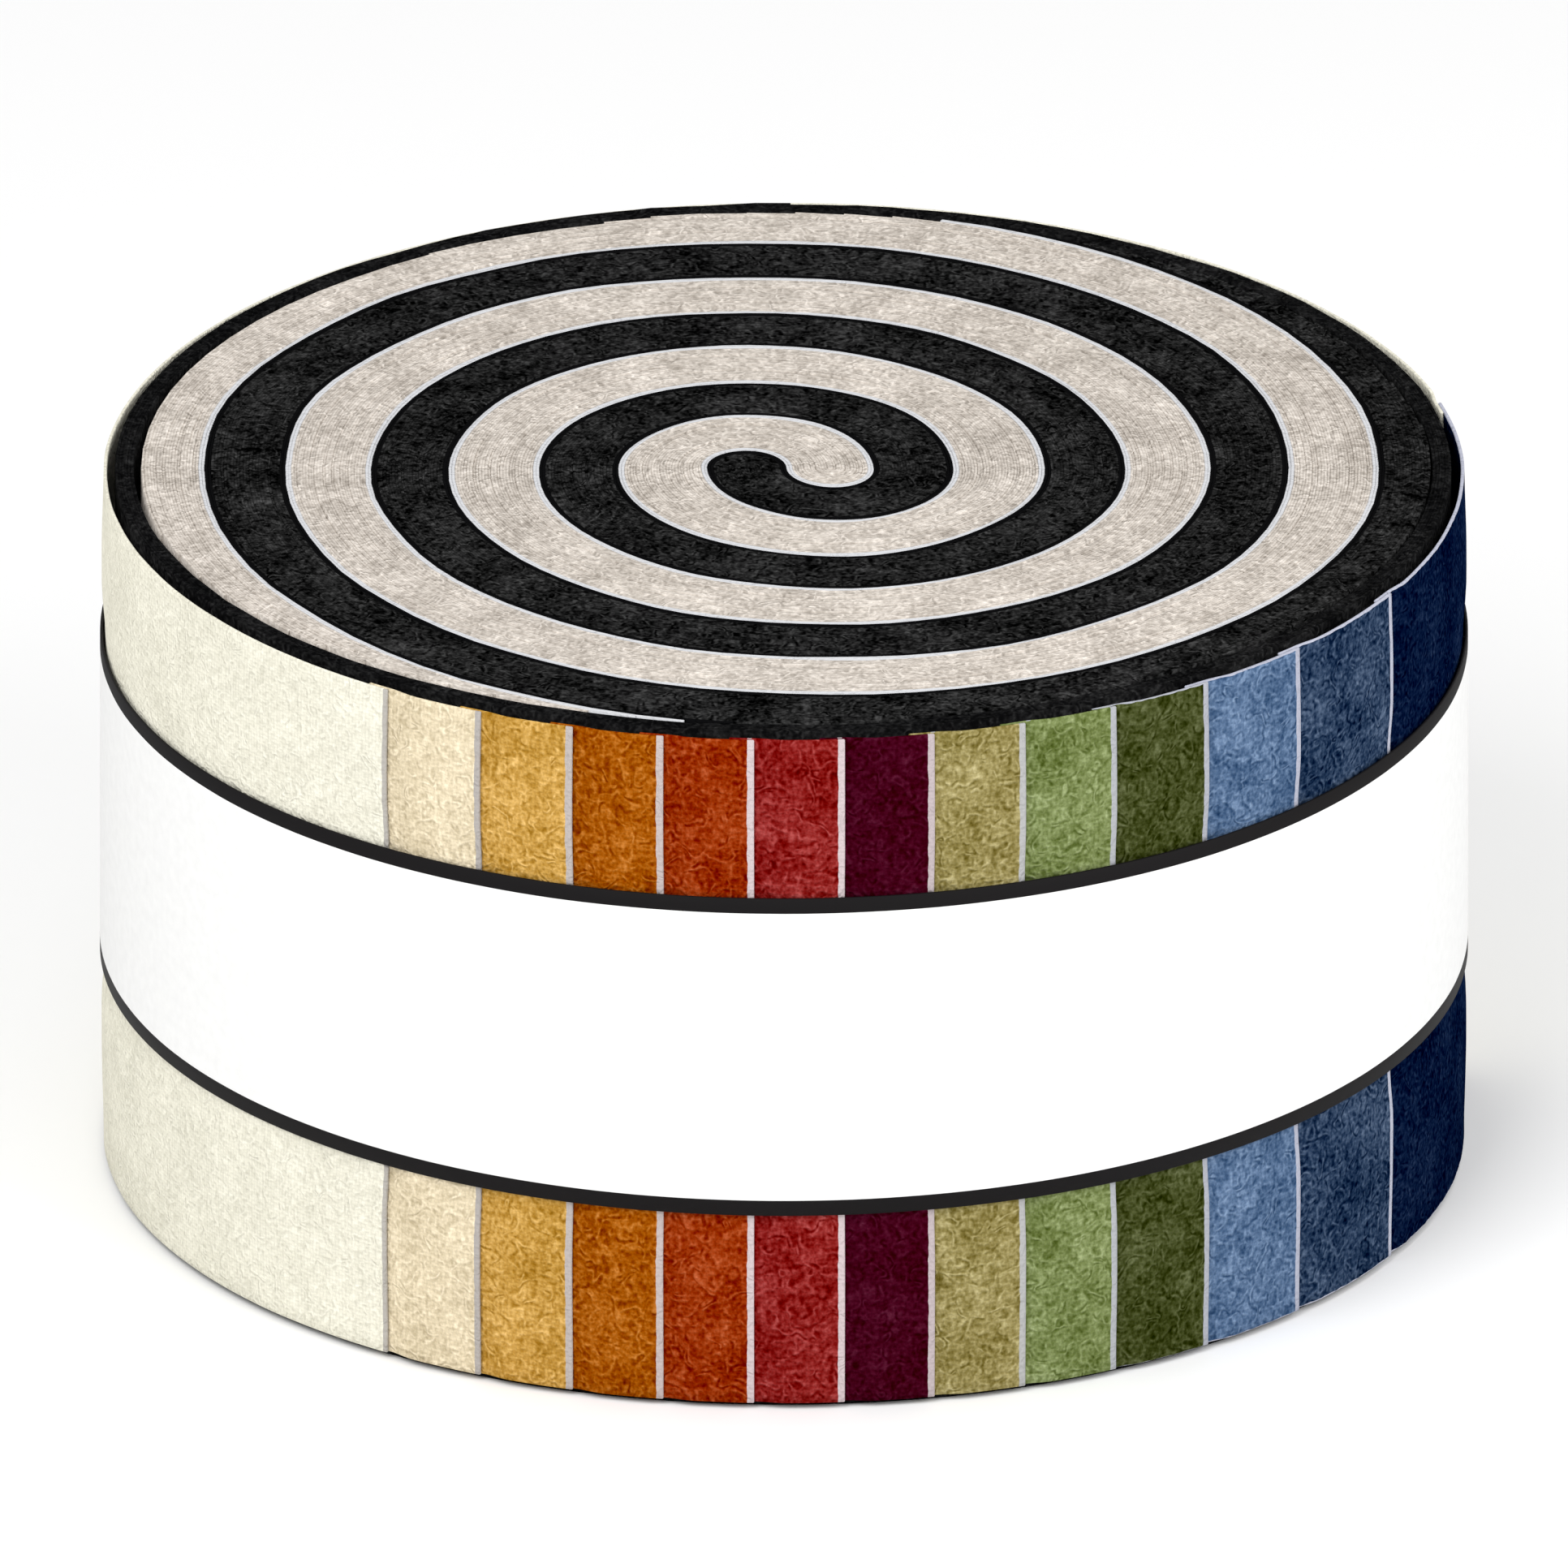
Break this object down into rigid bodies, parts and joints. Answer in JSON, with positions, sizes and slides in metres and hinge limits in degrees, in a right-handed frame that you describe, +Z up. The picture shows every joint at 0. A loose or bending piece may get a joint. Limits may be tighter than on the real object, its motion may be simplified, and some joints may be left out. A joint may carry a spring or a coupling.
{
  "type": "fabric strip roll",
  "caption": "Roll of precut quilting fabric strips standing on its end: light and dark turns in a spiral, coloured strip ends round the side and a plain white paper band.",
  "frame": {"origin": "centre of the underside, on the surface that the roll stands on", "axes": "+Z up along the roll's axis, +X to the right and +Y to the back as seen in the picture"},
  "size_m": [0.1194, 0.1194, 0.0635],
  "materials": {
    "light_cloth": "warm grey cotton print, tone on tone",
    "dark_cloth": "near-black cotton print, tone on tone",
    "cream_cloth": "cream cotton print",
    "peach_cloth": "pale peach cotton print",
    "gold_cloth": "gold cotton print",
    "amber_cloth": "amber cotton print",
    "orange_cloth": "burnt orange cotton print",
    "red_cloth": "red cotton print",
    "burgundy_cloth": "burgundy cotton print",
    "khaki_cloth": "khaki cotton print",
    "leaf_cloth": "leaf green cotton print",
    "olive_cloth": "dark olive cotton print",
    "sky_cloth": "light blue cotton print",
    "denim_cloth": "denim blue cotton print",
    "navy_cloth": "navy cotton print",
    "paper": "smooth white paper with thin black printed edge lines"
  },
  "bodies": {
    "root": {"light_strips": "light_cloth", "dark_strips": "dark_cloth", "strip_cream": "cream_cloth", "strip_peach": "peach_cloth", "strip_gold": "gold_cloth", "strip_amber": "amber_cloth", "strip_orange": "orange_cloth", "strip_red": "red_cloth", "strip_burgundy": "burgundy_cloth", "strip_khaki": "khaki_cloth", "strip_leaf": "leaf_cloth", "strip_olive": "olive_cloth", "strip_sky": "sky_cloth", "strip_denim": "denim_cloth", "strip_navy": "navy_cloth", "paper_band": "paper"}
  },
  "joints": []
}
